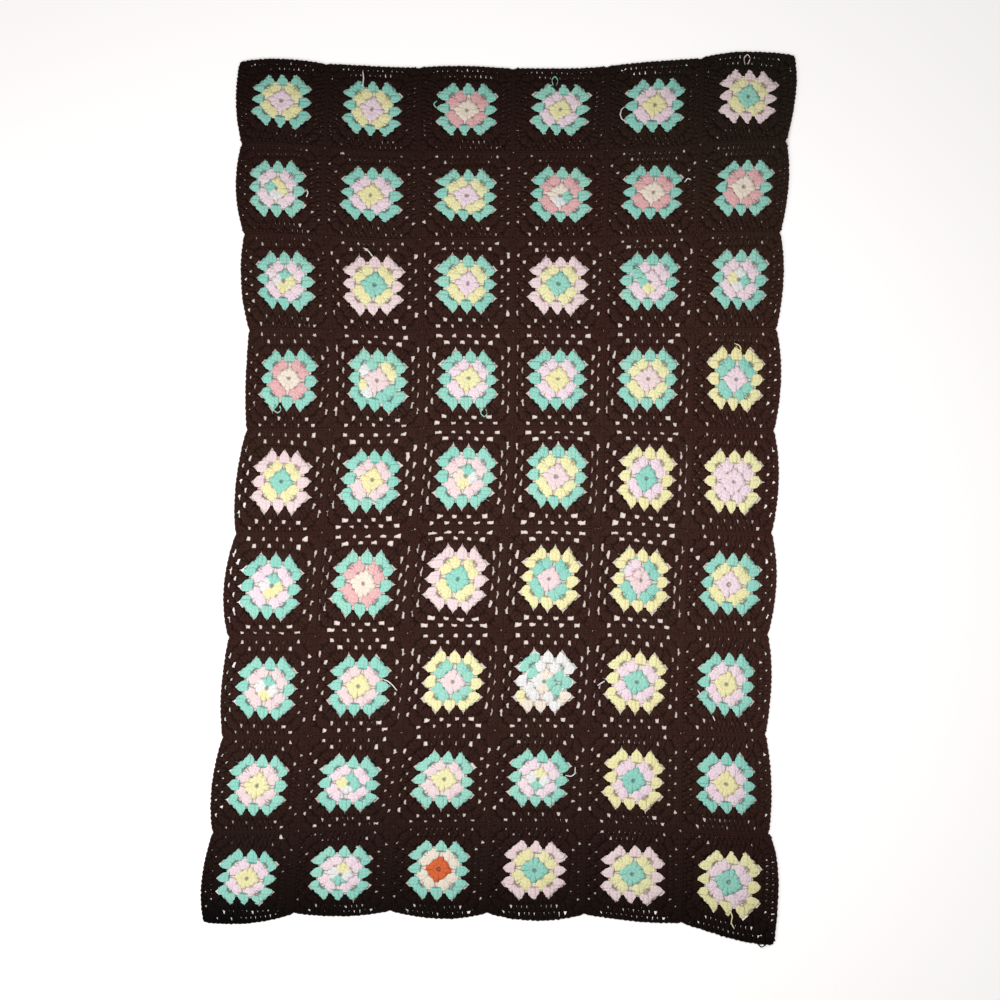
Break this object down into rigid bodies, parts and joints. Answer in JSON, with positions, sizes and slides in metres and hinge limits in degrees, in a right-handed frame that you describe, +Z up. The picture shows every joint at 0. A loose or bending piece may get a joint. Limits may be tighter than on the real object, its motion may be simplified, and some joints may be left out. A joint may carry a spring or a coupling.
{
  "type": "granny square blanket",
  "caption": "Flat crocheted blanket of joined granny squares, with pastel flower-like middles on a dark brown ground and gently scalloped sides.",
  "frame": {"origin": "middle of the blanket's box, on the surface it lies on", "axes": "+Y along the blanket's length, towards its first row of squares; +X across its width; +Z up, out of the side that shows"},
  "size_m": [1.2175, 1.83, 0.0055],
  "materials": {
    "crochet_yarn": "matte"
  },
  "bodies": {
    "root": {"blanket": "crochet_yarn"}
  },
  "joints": []
}
